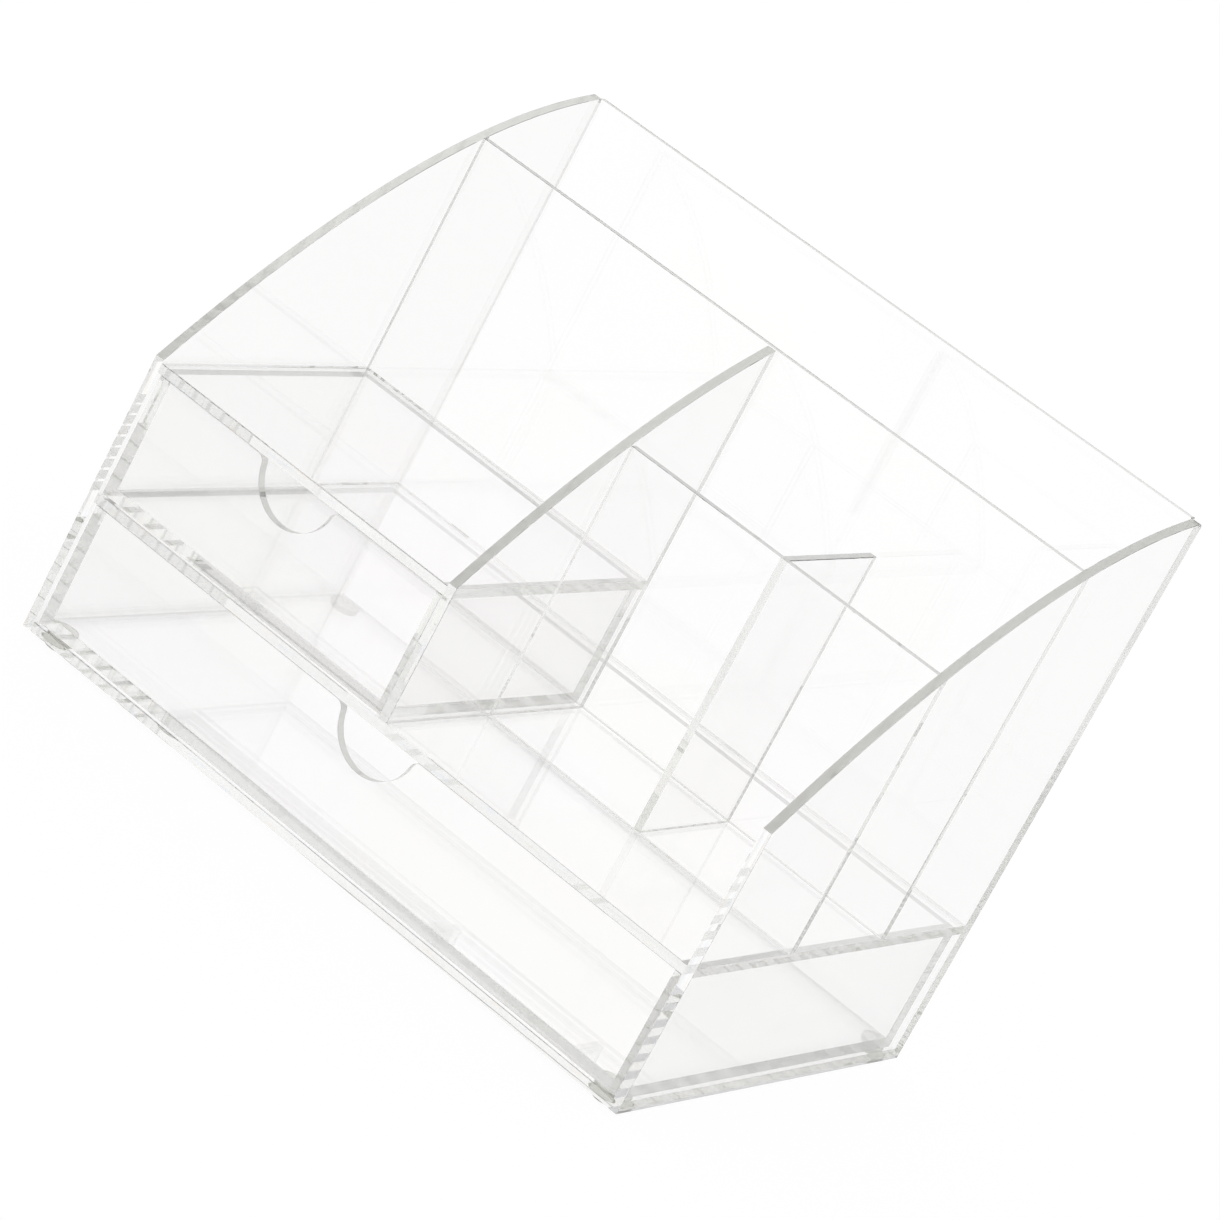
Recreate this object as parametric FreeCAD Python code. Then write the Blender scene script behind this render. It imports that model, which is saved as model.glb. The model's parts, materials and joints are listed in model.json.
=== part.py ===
"""Clear acrylic brush holder with two drawers.

Millimetres, +Z up, the front faces -Y. The sheets are laid out from the casing's
front left bottom corner and then moved, so that the part's origin is the centre of
the rectangle it covers on the table, at the underside of its feet.
"""
import FreeCAD, Part
import os

Vector = FreeCAD.Vector

# Casing: overall size and sheet thicknesses
width = 240.0
depth = 152.5
height = 186.0                 # top of the back, above the base's underside
sheet = 3.0                    # sides, partition, base, deck, shelf and drawers
thin_sheet = 2.5               # back and dividers

# Side profile: a straight front edge, then one curve rising to the back
front_edge_height = 91.5
crown_pull_height = 173.0      # height of the curve's middle control point
rear_corner_radius = 1.5

# Inside layout
drawer_bay_height = 41.0       # base to deck
upper_bay_height = 40.5        # deck to shelf
partition_centre_x = 120.0
inner_depth = 100.5            # front to the rear divider's face
rear_divider_height = 169.5
front_divider_y = 50.5
low_divider_height = 137.5     # top of the front and cross dividers
cross_divider_x = 178.0

# Drawers
drawer_recess = 1.0            # drawer fronts stand back from the casing's front edges
drawer_side_gap = 0.8
drawer_height_gap = 0.5        # above and below
lower_drawer_length = 146.0
upper_drawer_length = 98.5
notch_radius = 14.0
notch_corner_radius = 3.0

# Feet
foot_height = 2.2
foot_radius = 4.75
foot_edge_radius = 1.2
foot_inset_x = 9.0
foot_inset_y = 8.0

# Levels and inner faces that follow from them
deck_bottom = sheet + drawer_bay_height
deck_top = deck_bottom + sheet
shelf_bottom = deck_top + upper_bay_height
shelf_top = shelf_bottom + sheet
left_inner = sheet
right_inner = width - sheet
back_inner = depth - thin_sheet
partition_left = partition_centre_x - sheet / 2
partition_right = partition_centre_x + sheet / 2
rear_divider_back = inner_depth + thin_sheet

to_part_origin = Vector(-width / 2, -depth / 2, foot_height)


def block(x_range, y_range, z_range):
    """A rectangular piece of sheet between two faces on each axis."""
    size = [high - low for low, high in (x_range, y_range, z_range)]
    corner = Vector(x_range[0], y_range[0], z_range[0])
    return Part.makeBox(*size, corner)


def profiled_sheet(x_low, x_high):
    """A full side panel: flat bottom, front and back, with the curved top edge."""
    front_bottom = Vector(x_low, 0, 0)
    back_bottom = Vector(x_low, depth, 0)
    back_top = Vector(x_low, depth, height)
    front_top = Vector(x_low, 0, front_edge_height)
    crown = Part.BezierCurve()
    crown.setPoles([back_top, Vector(x_low, depth / 2, crown_pull_height), front_top])
    outline = Part.Wire([
        Part.makeLine(front_bottom, back_bottom),
        Part.makeLine(back_bottom, back_top),
        crown.toShape(),
        Part.makeLine(front_top, front_bottom),
    ])
    panel = Part.Face(outline).extrude(Vector(x_high - x_low, 0, 0))
    rear_corner = [edge for edge in panel.Edges
                   if abs(edge.CenterOfMass.y - depth) < 0.01
                   and abs(edge.CenterOfMass.z - height) < 0.01]
    return panel.makeFillet(rear_corner_radius, rear_corner)


def cut_notch(front, centre_x, top):
    """Cut a half-round finger notch into a drawer front's top edge, corners eased."""
    drill = Part.makeCylinder(notch_radius, 3 * sheet,
                              Vector(centre_x, drawer_recess - sheet, top),
                              Vector(0, 1, 0))
    notched = front.cut(drill)
    corners = [edge for edge in notched.Edges
               if abs(edge.CenterOfMass.z - top) < 0.01
               and abs(abs(edge.CenterOfMass.x - centre_x) - notch_radius) < 0.01]
    return notched.makeFillet(notch_corner_radius, corners)


def make_drawer(name, x_range, length, z_range):
    """Five sheets: a front over the ends of both side walls, and a floor between."""
    x_low, x_high = x_range
    floor_top = z_range[0] + sheet
    front_back = drawer_recess + sheet
    back = drawer_recess + length
    inside_x = (x_low + sheet, x_high - sheet)
    behind_front = (front_back, back)
    front = block(x_range, (drawer_recess, front_back), z_range)
    return {
        name + "_front": cut_notch(front, (x_low + x_high) / 2, z_range[1]),
        name + "_left_wall": block((x_low, x_low + sheet), behind_front, z_range),
        name + "_right_wall": block((x_high - sheet, x_high), behind_front, z_range),
        name + "_back_wall": block(inside_x, (back - sheet, back), z_range),
        name + "_floor": block(inside_x, (front_back, back - sheet),
                               (z_range[0], floor_top)),
    }


def make_casing():
    """The ten cemented sheets of the casing."""
    between_sides = (left_inner, right_inner)
    right_bays = (partition_right, right_inner)
    partition_limits = block((0, width), (0, inner_depth), (deck_top, height))
    partition = profiled_sheet(partition_left, partition_right)
    return {
        "left_side_panel": profiled_sheet(0, left_inner),
        "right_side_panel": profiled_sheet(right_inner, width),
        "back_panel": block(between_sides, (back_inner, depth), (0, height)),
        "base_panel": block(between_sides, (0, back_inner), (0, sheet)),
        "deck_panel": block(between_sides, (0, back_inner), (deck_bottom, deck_top)),
        "upper_shelf": block((left_inner, partition_left), (0, inner_depth),
                             (shelf_bottom, shelf_top)),
        "middle_partition": partition.common(partition_limits),
        "rear_divider": block(between_sides, (inner_depth, rear_divider_back),
                              (deck_top, rear_divider_height)),
        "front_divider": block(right_bays,
                               (front_divider_y, front_divider_y + thin_sheet),
                               (deck_top, low_divider_height)),
        "cross_divider": block((cross_divider_x, cross_divider_x + thin_sheet),
                               (front_divider_y + thin_sheet, inner_depth),
                               (deck_top, low_divider_height)),
    }


def make_foot(centre_x, centre_y):
    """A round stick-on bumper with a rounded lower edge."""
    foot = Part.makeCylinder(foot_radius, foot_height,
                             Vector(centre_x, centre_y, -foot_height))
    lower_edge = [edge for edge in foot.Edges
                  if abs(edge.BoundBox.ZMax + foot_height) < 0.01]
    return foot.makeFillet(foot_edge_radius, lower_edge)


def make_feet():
    """One bumper near each corner of the base."""
    rows = {"front": foot_inset_y, "rear": depth - foot_inset_y}
    sides = {"left": foot_inset_x, "right": width - foot_inset_x}
    return {"foot_" + row + "_" + side: make_foot(centre_x, centre_y)
            for row, centre_y in rows.items()
            for side, centre_x in sides.items()}


def make_drawers():
    """The full-width lower drawer and the upper drawer left of the partition."""
    lower = make_drawer("lower_drawer",
                        (left_inner + drawer_side_gap, right_inner - drawer_side_gap),
                        lower_drawer_length,
                        (sheet + drawer_height_gap, deck_bottom - drawer_height_gap))
    upper = make_drawer("upper_drawer",
                        (left_inner + drawer_side_gap, partition_left - drawer_side_gap),
                        upper_drawer_length,
                        (deck_top + drawer_height_gap, shelf_bottom - drawer_height_gap))
    return {**lower, **upper}


def main():
    os.makedirs("parts", exist_ok=True)
    pieces = {**make_casing(), **make_feet(), **make_drawers()}
    for name, shape in pieces.items():
        shape.translate(to_part_origin)
        shape.exportStep("parts/" + name + ".step")
        print(f"{name:26s} {shape.Volume / 1000:8.2f} cm3  valid {shape.isValid()}")


main()
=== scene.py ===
"""Looks of the clear acrylic brush holder: polished sheets, cemented seams and bumpers.

Metres, in the part's own frame: the front faces -Y and the feet stand on z = 0.
"""

import json
import math

import bmesh
import bpy
from mathutils import Matrix, Vector


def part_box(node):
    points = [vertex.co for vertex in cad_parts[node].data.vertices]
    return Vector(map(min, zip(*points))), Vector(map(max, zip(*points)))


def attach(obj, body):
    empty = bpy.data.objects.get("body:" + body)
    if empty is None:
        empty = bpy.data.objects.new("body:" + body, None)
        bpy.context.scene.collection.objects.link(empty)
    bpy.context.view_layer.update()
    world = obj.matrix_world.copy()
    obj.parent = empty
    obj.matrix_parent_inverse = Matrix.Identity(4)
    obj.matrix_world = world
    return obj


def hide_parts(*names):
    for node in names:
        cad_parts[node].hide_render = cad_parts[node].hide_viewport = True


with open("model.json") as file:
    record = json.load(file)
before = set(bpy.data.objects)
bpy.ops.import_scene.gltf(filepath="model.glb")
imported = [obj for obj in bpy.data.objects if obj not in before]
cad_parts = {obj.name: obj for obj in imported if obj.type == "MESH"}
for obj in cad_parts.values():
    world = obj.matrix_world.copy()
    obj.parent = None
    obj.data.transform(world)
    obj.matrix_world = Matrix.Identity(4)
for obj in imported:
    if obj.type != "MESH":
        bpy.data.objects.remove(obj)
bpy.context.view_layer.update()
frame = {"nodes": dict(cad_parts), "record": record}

MM = 0.001

# Camera, as the object was photographed
CAMERA_AZIMUTH = math.radians(27.54)
CAMERA_ELEVATION = math.radians(18.45)
CAMERA_ROLL = math.radians(28.16)
CAMERA_DISTANCE = 1.523
CAMERA_LENS = 157.7            # mm
SENSOR_WIDTH = 36.0            # mm
CAMERA_TARGET = Vector((0.00678, -0.00067, 0.08764))

# Studio
SKY = (0.0, 1.0), (0.38, 1.0), (0.6, 0.6), (1.0, 0.45)      # brightness by sine of elevation
FLOOR_SIZE = 12.0
FLOOR_DROP = 0.05 * MM         # keeps the floor clear of the feet
FLOOR_GREY = 0.8               # as the floor lights the object
SHADOW_GREY = 0.06             # the part of the seen floor that takes shadows
FLOOR_GLOW = 0.965             # the part of the seen floor that doesn't
LIGHT_BOUNCES = 96             # light zigzags many times inside a sheet

# Clear acrylic, its faint colour casts, and the painted shade that greys the sheets facing sideways
ACRYLIC_IOR = 1.491
CAST_AND_SHADE_SCALE = 14.0              # noise scales are per metre
CAST_AND_SHADE_STOPS = 0.35, 0.5, 0.65
# Painted shade: the sheets that face sideways are greyed a little in their colour, for how light
# falls on them
SIDE_SHADE_PALER = 0.959, 0.959, 0.955
SIDE_SHADE_DEEPER = 0.955, 0.955, 0.951
NO_CAST = 0.998, 0.998, 0.998
PINK_CAST = 0.998, 0.993, 0.996
CREAM_CAST = 0.998, 0.997, 0.991

# Polished edges
EDGE_RIPPLE = 0.006 * MM
RIPPLES_ACROSS = 500.0
RIPPLES_ALONG = 60.0
PAINTED_GLINT_SCALE = 1.7              # how much finer than the ripples
EDGE_COLOUR = 0.99, 0.99, 0.984
# The blue and amber glints are painted light: colour spots that stand in for light split by the
# edges, not a tint of the acrylic
BLUE_PAINTED_GLINT = 0.86, 0.90, 0.99
AMBER_PAINTED_GLINT = 0.99, 0.90, 0.82
PAINTED_GLINTS = (0.28, BLUE_PAINTED_GLINT), (0.38, EDGE_COLOUR), (0.62, EDGE_COLOUR), (0.72, AMBER_PAINTED_GLINT)

# Hazy edges and bumpers: colour, and the share of haze over plain see-through
SAWN_EDGE = (0.94, 0.94, 0.93), 0.5
RAW_EDGE = (0.96, 0.96, 0.975), 0.45
ROUTED_NOTCH = (0.95, 0.95, 0.93), 0.35
BUMPER_RUBBER = (0.82, 0.82, 0.77), 0.6
# Painted shade: each crown's grey stands in for how light falls on it, darkest on the right side
# panel
CROWN_SHADE_GREY = {"left_side_panel": 0.87, "middle_partition": 0.76, "right_side_panel": 0.66}
CROWN_WARMTH = 0.03            # how much less blue than grey
CROWN_HAZE = 0.7
HAZE_IOR = 1.2
HAZE_TRANSMISSION = 0.5
HAZE_ROUGHNESS = 0.25
MARK_ROUGHNESS = 0.2           # added where the tool marks are strongest
MARK_SCALE = 400.0
MARK_STOPS = 0.35, 0.65
MARK_SHADE = 0.97
TOOL_MARK = 0.01 * MM

# Cement: light tint, dark tint and cloudiness
CASING_CEMENT = 0.985, 0.965, 0.04
LEFT_SIDE_CEMENT = 0.88, 0.85, 0.04
DECK_CEMENT = 0.94, 0.91, 0.04
DRAWER_WALL_CEMENT = 0.99, 0.985, 0.04
DRAWER_FLOOR_CEMENT = 0.885, 0.855, 0.07
CEMENT_WARMTH = 0.006
CLOUDY_COLOUR = 0.98, 0.98, 0.972, 1
BUBBLE_SCALE = 700.0
PATCH_SCALE = 60.0
BUBBLE_STOPS = 0.4, 0.5

# Shaping of the meshes
CASING_EASE = 0.2 * MM
DRAWER_EASE = 0.08 * MM
EASE_STEPS = 2
ROUND_PROFILE = 0.5
END_ON_LENGTH = 10 * MM        # an edge that runs further than this out of a contact meets it end on
TOUCH = 0.02 * MM              # faces closer than this are cemented together
WELD = 1e-6
CUT_SLACK = 1e-7
FLAT_ANGLE = math.radians(0.5)
SMOOTH_ANGLE = math.radians(50)
LEVEL_NORMAL = 0.999           # a face whose normal has this share of an axis faces along it

# Material slots of a piece. Slots 0 to 2 are polished edges, by the axis that they run along.
FACE, TOP_EDGE, UNDERSIDE, CURVE, SEAM = range(3, 8)


# ---------------------------------------------------------------- node helpers

class Nodes:
    """A small wrapper that adds and links shader nodes."""

    def __init__(self, owner):
        owner.use_nodes = True
        self.tree = owner.node_tree
        self.tree.nodes.clear()

    def put(self, socket, value):
        if isinstance(value, bpy.types.NodeSocket):
            self.tree.links.new(value, socket)
        else:
            socket.default_value = value

    def add(self, kind, settings=None, **sockets):
        """A node with its sockets filled by name."""
        node = self.tree.nodes.new("ShaderNode" + kind)
        for name, value in (settings or {}).items():
            setattr(node, name, value)
        for name, value in sockets.items():
            self.put(node.inputs[name.replace("_", " ")], value)
        return node

    def fill(self, kind, settings, *values):
        """The output of a node with its sockets filled in order."""
        node = self.add(kind, settings)
        for socket, value in zip(node.inputs, values):
            self.put(socket, value)
        return node.outputs[0]

    def math(self, operation, *values):
        return self.fill("Math", {"operation": operation}, *values)

    def mix(self, share, first, second):
        """The second shader over the first, by its share."""
        return self.fill("MixShader", None, share, first, second)

    def noise(self, place, scale, detail):
        return self.add("TexNoise", Vector=place, Scale=scale, Detail=detail).outputs["Fac"]

    def ramp(self, factor, *stops):
        node = self.add("ValToRGB", Fac=factor)
        elements = node.color_ramp.elements
        for place, colour in stops[1:-1]:
            elements.new(place)
        for element, (place, colour) in zip(elements, stops):
            element.position = place
            element.color = (*colour, 1)
        return node.outputs[0]


def new_material(name):
    """A material with its nodes and the socket that gives places on the object."""
    material = bpy.data.materials.new(name)
    nodes = Nodes(material)
    return material, nodes, nodes.add("TexCoord").outputs["Object"]


def grey(level, warmth=0.0):
    return level, level, level - warmth


# ---------------------------------------------------------------- materials

def sheet_face(name, *casts_and_shade):
    """A polished face of a sheet, with the faint colour casts that stress leaves in acrylic; on
    sheets that face sideways, its colour is a painted shade grey instead.
    """
    material, nodes, place = new_material(name)
    cast_and_shade = nodes.ramp(nodes.noise(place, CAST_AND_SHADE_SCALE, 1.0), *zip(CAST_AND_SHADE_STOPS, casts_and_shade))
    shader = nodes.add("BsdfPrincipled", Base_Color=cast_and_shade, Roughness=0.0,
                       IOR=ACRYLIC_IOR, Transmission_Weight=1.0)
    nodes.add("OutputMaterial", Surface=shader.outputs[0])
    return material


def polished_edge(axis):
    """A flame-polished edge that runs along an axis: clear, with fine ripples drawn out along it,
    and painted glints, blue and amber spots in its colour that stand in for prismatic light."""
    material, nodes, place = new_material("polished_edge_" + "xyz"[axis])
    streaks = [RIPPLES_ACROSS] * 3
    streaks[axis] = RIPPLES_ALONG
    place = nodes.add("Mapping", Vector=place, Scale=streaks).outputs[0]
    bump = nodes.add("Bump", Height=nodes.noise(place, 1.0, 1.0), Strength=1.0,
                     Distance=EDGE_RIPPLE)
    # painted glints: blue and amber spots in the edge's colour, drawn out along it
    colour = nodes.ramp(nodes.noise(place, PAINTED_GLINT_SCALE, 2.0), *PAINTED_GLINTS)
    shader = nodes.add("BsdfPrincipled", Base_Color=colour, Roughness=0.0,
                       IOR=ACRYLIC_IOR, Transmission_Weight=1.0, Normal=bump.outputs[0])
    nodes.add("OutputMaterial", Surface=shader.outputs[0])
    return material


def hazy_edge(name, colour, haze):
    """A soft haze with faint tool marks: edges left sawn or routed, and the bumpers' rubber."""
    material, nodes, place = new_material(name)
    marks = nodes.noise(place, MARK_SCALE, 2.0)
    shaded = [part * MARK_SHADE for part in colour]
    tint = nodes.ramp(marks, *zip(MARK_STOPS, (shaded, colour)))
    bump = nodes.add("Bump", Height=marks, Strength=1.0, Distance=TOOL_MARK)
    through = nodes.add("BsdfTransparent", Color=tint)
    roughness = nodes.math("MULTIPLY_ADD", marks, MARK_ROUGHNESS, HAZE_ROUGHNESS)
    hazy = nodes.add("BsdfPrincipled", Base_Color=tint, IOR=HAZE_IOR, Roughness=roughness,
                     Transmission_Weight=HAZE_TRANSMISSION, Normal=bump.outputs[0])
    nodes.add("OutputMaterial", Surface=nodes.mix(haze, through.outputs[0], hazy.outputs[0]))
    return material


def crown_edge(node):
    """The curved top edge of a side panel or the partition, greyed in its colour by a painted shade
    set per panel, darkest on the right side panel.
    """
    return hazy_edge(node + "_shaded_crown", grey(CROWN_SHADE_GREY[node], CROWN_WARMTH), CROWN_HAZE)


def cement_seam(name, light, dark, cloudiness):
    """Cement between two sheets, with small bubbles that gather in cloudier patches."""
    material, nodes, place = new_material(name)
    bubbles = nodes.noise(place, BUBBLE_SCALE, 1.0)
    patches = nodes.noise(place, PATCH_SCALE, 2.0)
    both = nodes.math("MULTIPLY", nodes.math("ADD", bubbles, patches), 0.5)
    tints = grey(dark, CEMENT_WARMTH), grey(light, CEMENT_WARMTH)
    clear = nodes.add("BsdfTransparent", Color=nodes.ramp(both, *zip(BUBBLE_STOPS, tints)))
    cloudy = nodes.add("BsdfTranslucent", Color=CLOUDY_COLOUR)
    nodes.add("OutputMaterial", Surface=nodes.mix(cloudiness, clear.outputs[0], cloudy.outputs[0]))
    return material


# ---------------------------------------------------------------- cemented areas

class Contact:
    """A flat convex area where two pieces are cemented together."""

    def __init__(self, axis, corners):
        self.axis = axis
        self.level = corners[0][axis]
        along = Vector((0, 0, 0))
        along[axis] = 1
        self.planes = []
        for start, end in zip(corners, corners[1:] + corners[:1]):
            self.planes.append((start, (end - start).cross(along).normalized()))

    def holds(self, point, plane_count=None):
        """Whether a point lies in the area, or inside its first few sides."""
        return abs(point[self.axis] - self.level) < TOUCH and all(
            (point - start).dot(outward) < TOUCH for start, outward in self.planes[:plane_count])

    def faced_by(self, face, plane_count=None):
        return (abs(face.normal[self.axis]) > LEVEL_NORMAL
                and self.holds(face.calc_center_median(), plane_count))


def sheet_contact(node, other):
    """The rectangle where the boxes of two sheets lie face to face, if they do."""
    low = [max(pair) for pair in zip(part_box(node)[0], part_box(other)[0])]
    high = [min(pair) for pair in zip(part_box(node)[1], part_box(other)[1])]
    gaps = [b - a for a, b in zip(low, high)]
    if min(gaps) < -TOUCH or sorted(gaps)[1] < TOUCH:
        return None
    axis = gaps.index(min(gaps))
    across, along = (axis + 1) % 3, (axis + 2) % 3
    corners = []
    for first, second in ((low, low), (high, low), (high, high), (low, high)):
        corner = Vector(low)
        corner[across] = first[across]
        corner[along] = second[along]
        corners.append(corner)
    return Contact(axis, corners)


def foot_contact(foot):
    """The round top of a bumper, stuck to the underside of the base."""
    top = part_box(foot)[1][2]
    rim = [vertex.co.copy() for vertex in frame["nodes"][foot].data.vertices
           if abs(vertex.co.z - top) < TOUCH]
    middle = sum(rim, Vector()) / len(rim)
    corners = {}
    for point in rim:
        angle = math.atan2(point.y - middle.y, point.x - middle.x)
        corners[round(angle, 3)] = point
    return Contact(2, [corners[angle] for angle in sorted(corners)])


def is_foot(node):
    return node.startswith("foot_")


def contacts_of(node, members):
    """A piece's contacts with the others on its body. A bumper touches only the base."""
    found = []
    for other in members:
        if other == node:
            continue
        if is_foot(node) or is_foot(other):
            if "base_panel" in (node, other):
                found.append(foot_contact(node if is_foot(node) else other))
        else:
            found.append(sheet_contact(node, other))
    return [contact for contact in found if contact]


def mark_contact(mesh, contact):
    """Cuts the outline of a contact into the face that it lies on."""
    for count, (start, outward) in enumerate(contact.planes):
        faces = [face for face in mesh.faces if contact.faced_by(face, count)]
        geometry = set(faces)
        for face in faces:
            geometry.update(face.edges)
            geometry.update(face.verts)
        bmesh.ops.bisect_plane(mesh, geom=list(geometry), dist=CUT_SLACK, plane_co=start,
                               plane_no=outward)


# ---------------------------------------------------------------- pieces

def sheet_axis_of(node):
    """The axis across a sheet's thickness."""
    low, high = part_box(node)
    return min(range(3), key=lambda axis: high[axis] - low[axis])


def slot_of(face, contacts, sheet_axis):
    """The material slot of a face that isn't eased."""
    if any(contact.faced_by(face) for contact in contacts):
        return SEAM
    if abs(face.normal[sheet_axis]) > LEVEL_NORMAL:
        return FACE
    if face.normal.z > LEVEL_NORMAL:
        return TOP_EDGE
    if face.normal.z < -LEVEL_NORMAL:
        return UNDERSIDE
    for axis in range(3):
        if abs(face.normal[axis]) > LEVEL_NORMAL:
            return 3 - axis - sheet_axis    # the third axis, which the edge runs along
    return CURVE


def is_free(edge, contacts):
    """Whether an edge keeps clear of the contacts, or is a long one that meets them end on."""
    start, end = (vertex.co for vertex in edge.verts)
    return all(abs(start[contact.axis] - end[contact.axis]) > END_ON_LENGTH
               for contact in contacts if contact.holds(start) or contact.holds(end))


def run_of(strip):
    """The axis that a narrow strip of an eased edge runs along."""
    longest = max(strip.edges, key=lambda edge: edge.calc_length())
    run = longest.verts[1].co - longest.verts[0].co
    return max(range(3), key=lambda axis: abs(run[axis]))


def clean_copy(node):
    """The mesh of a CAD node with its triangles joined into flat faces."""
    mesh = bmesh.new()
    mesh.from_mesh(frame["nodes"][node].data)
    bmesh.ops.remove_doubles(mesh, verts=mesh.verts, dist=WELD)
    bmesh.ops.dissolve_limit(mesh, angle_limit=FLAT_ANGLE, verts=mesh.verts, edges=mesh.edges)
    mesh.normal_update()
    return mesh


def ease_edges(mesh, contacts, ease):
    """Rounds the sharp free edges and returns the new faces."""
    free_edges = [edge for edge in mesh.edges
                  if edge.calc_face_angle(0) > SMOOTH_ANGLE and is_free(edge, contacts)]
    bevelled = bmesh.ops.bevel(mesh, geom=free_edges, segments=EASE_STEPS, profile=ROUND_PROFILE,
                               affect="EDGES", offset=ease, clamp_overlap=True)
    mesh.normal_update()
    return set(bevelled["faces"])


def mesh_data(mesh, name):
    """Turns a bmesh into a mesh without the normals imported with the CAD node."""
    data = bpy.data.meshes.new(name)
    mesh.to_mesh(data)
    mesh.free()
    imported_normals = data.attributes.get("custom_normal")
    if imported_normals:
        data.attributes.remove(imported_normals)
    return data


def finish_piece(node, body, members, materials):
    """A copy of a CAD node with eased free edges and its cemented areas marked."""
    contacts = contacts_of(node, members)
    mesh = clean_copy(node)
    for contact in contacts:
        mark_contact(mesh, contact)
    eased = set()
    if not is_foot(node):
        eased = ease_edges(mesh, contacts, CASING_EASE if body == "casing" else DRAWER_EASE)
    sheet_axis = sheet_axis_of(node)
    for face in mesh.faces:
        face.material_index = (run_of(face) if face in eased
                               else slot_of(face, contacts, sheet_axis))
        face.smooth = face.material_index == CURVE
    for edge in mesh.edges:
        edge.smooth = edge.calc_face_angle(0) < SMOOTH_ANGLE
    data = mesh_data(mesh, node + "_polished")
    for material in materials:
        data.materials.append(material)
    piece = bpy.data.objects.new(node + "_polished", data)
    bpy.context.scene.collection.objects.link(piece)
    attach(piece, body)
    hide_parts(node)


def make_seams():
    """The cement of each piece: its own, or its group's."""
    casing = cement_seam("casing_seam", *CASING_CEMENT)
    left_side = cement_seam("left_side_seam", *LEFT_SIDE_CEMENT)
    deck = cement_seam("deck_seam", *DECK_CEMENT)
    drawer_wall = cement_seam("drawer_wall_seam", *DRAWER_WALL_CEMENT)
    drawer_floor = cement_seam("drawer_floor_seam", *DRAWER_FLOOR_CEMENT)
    own = {"left_side_panel": left_side, "deck_panel": deck,
           "lower_drawer_floor": drawer_floor, "upper_drawer_floor": drawer_floor}
    return {node: own.get(node, casing if body == "casing" else drawer_wall)
            for body, members in frame["record"]["behaviour"]["bodies"].items()
            for node in members}


def finish_pieces():
    seams = make_seams()
    # painted shade: a greyer copy of the clear face, for sheets that face sideways
    side = sheet_face("shaded_side_face", SIDE_SHADE_PALER, SIDE_SHADE_DEEPER, SIDE_SHADE_PALER)
    clear = sheet_face("clear_face", PINK_CAST, NO_CAST, CREAM_CAST)
    polished = [polished_edge(axis) for axis in range(3)]
    sawn = hazy_edge("sawn_edge", *SAWN_EDGE)
    raw = hazy_edge("raw_edge", *RAW_EDGE)
    notch = hazy_edge("routed_notch", *ROUTED_NOTCH)
    shaded_crowns = {node: crown_edge(node) for node in CROWN_SHADE_GREY}
    rubber = hazy_edge("bumper_rubber", *BUMPER_RUBBER)
    for body, members in frame["record"]["behaviour"]["bodies"].items():
        for node in members:
            faces_sideways = sheet_axis_of(node) == 0
            if is_foot(node):
                materials = [rubber] * SEAM + [seams[node]]
            else:
                edge_run = 1 if faces_sideways else 0
                underside = raw if node == "right_side_panel" else polished[edge_run]
                # sheets that face sideways take the painted shade face
                materials = [*polished, side if faces_sideways else clear, sawn, underside,
                             shaded_crowns.get(node, notch), seams[node]]
            finish_piece(node, body, members, materials)


# ---------------------------------------------------------------- studio

def make_floor():
    """A floor that is white where it is seen, and pale grey as it lights the object."""
    bpy.ops.mesh.primitive_plane_add(size=FLOOR_SIZE, location=(0, 0, -FLOOR_DROP))
    floor = bpy.context.object
    floor.name = "floor"
    material = bpy.data.materials.new("white_floor")
    nodes = Nodes(material)
    path = nodes.add("LightPath")
    seen = nodes.math("MAXIMUM", path.outputs["Is Camera Ray"],
                      nodes.math("MAXIMUM", path.outputs["Is Glossy Ray"],
                                 path.outputs["Is Transmission Ray"]))
    lit = nodes.add("BsdfDiffuse", Color=(*grey(FLOOR_GREY), 1))
    shaded = nodes.add("BsdfDiffuse", Color=(*grey(SHADOW_GREY), 1))
    glow = nodes.add("Emission", Color=(1, 1, 1, 1), Strength=FLOOR_GLOW)
    shown = nodes.fill("AddShader", None, shaded.outputs[0], glow.outputs[0])
    nodes.add("OutputMaterial", Surface=nodes.mix(seen, lit.outputs[0], shown))
    floor.data.materials.append(material)


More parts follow.
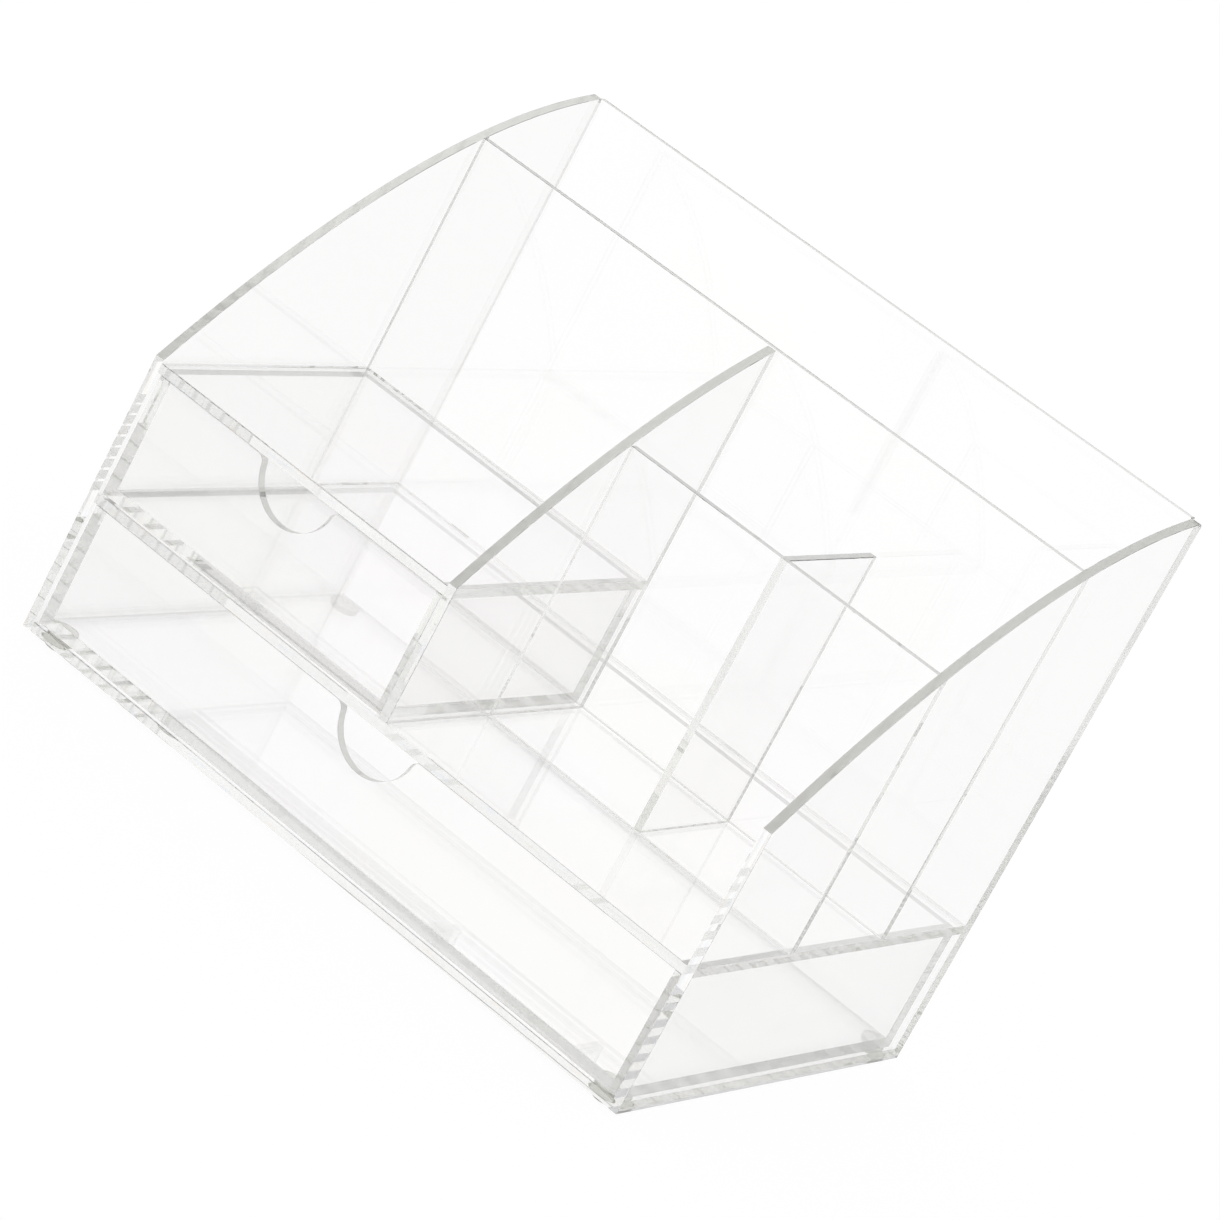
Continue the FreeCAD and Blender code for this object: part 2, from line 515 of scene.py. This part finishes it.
def make_world():
    """A studio that is white to the camera, and dims towards the zenith as it lights."""
    world = bpy.data.worlds.new("studio")
    bpy.context.scene.world = world
    nodes = Nodes(world)
    direction = nodes.add("TexCoord").outputs["Generated"]
    height = nodes.add("SeparateXYZ", Vector=direction).outputs["Z"]
    sky = nodes.ramp(height, *((place, grey(level)) for place, level in SKY))
    path = nodes.add("LightPath")
    colour = nodes.add("Mix", {"data_type": "RGBA"})
    nodes.put(colour.inputs["Factor"], path.outputs["Is Camera Ray"])
    nodes.put(colour.inputs[6], sky)
    nodes.put(colour.inputs[7], (1, 1, 1, 1))
    shader = nodes.add("Background", Color=colour.outputs[2], Strength=1.0)
    nodes.add("OutputWorld", Surface=shader.outputs[0])


def make_camera():
    outward = Vector((math.sin(CAMERA_AZIMUTH) * math.cos(CAMERA_ELEVATION),
                      -math.cos(CAMERA_AZIMUTH) * math.cos(CAMERA_ELEVATION),
                      math.sin(CAMERA_ELEVATION)))
    right = Vector((0, 0, 1)).cross(outward).normalized()
    up = outward.cross(right)
    rolled_right = right * math.cos(CAMERA_ROLL) + up * math.sin(CAMERA_ROLL)
    rolled_up = up * math.cos(CAMERA_ROLL) - right * math.sin(CAMERA_ROLL)
    camera = bpy.data.objects.new("camera", bpy.data.cameras.new("camera"))
    camera.data.lens = CAMERA_LENS
    camera.data.sensor_width = SENSOR_WIDTH
    camera.data.sensor_fit = "HORIZONTAL"
    axes = Matrix((rolled_right, rolled_up, outward)).transposed().to_4x4()
    camera.matrix_world = Matrix.Translation(CAMERA_TARGET + outward * CAMERA_DISTANCE) @ axes
    bpy.context.scene.collection.objects.link(camera)
    bpy.context.scene.camera = camera


def set_view_and_light_paths():
    scene = bpy.context.scene
    scene.view_settings.view_transform = "Standard"
    scene.cycles.max_bounces = LIGHT_BOUNCES
    scene.cycles.diffuse_bounces = LIGHT_BOUNCES
    scene.cycles.transmission_bounces = LIGHT_BOUNCES
    scene.cycles.glossy_bounces = LIGHT_BOUNCES
    scene.cycles.transparent_max_bounces = LIGHT_BOUNCES


finish_pieces()
make_floor()
make_world()
make_camera()
set_view_and_light_paths()
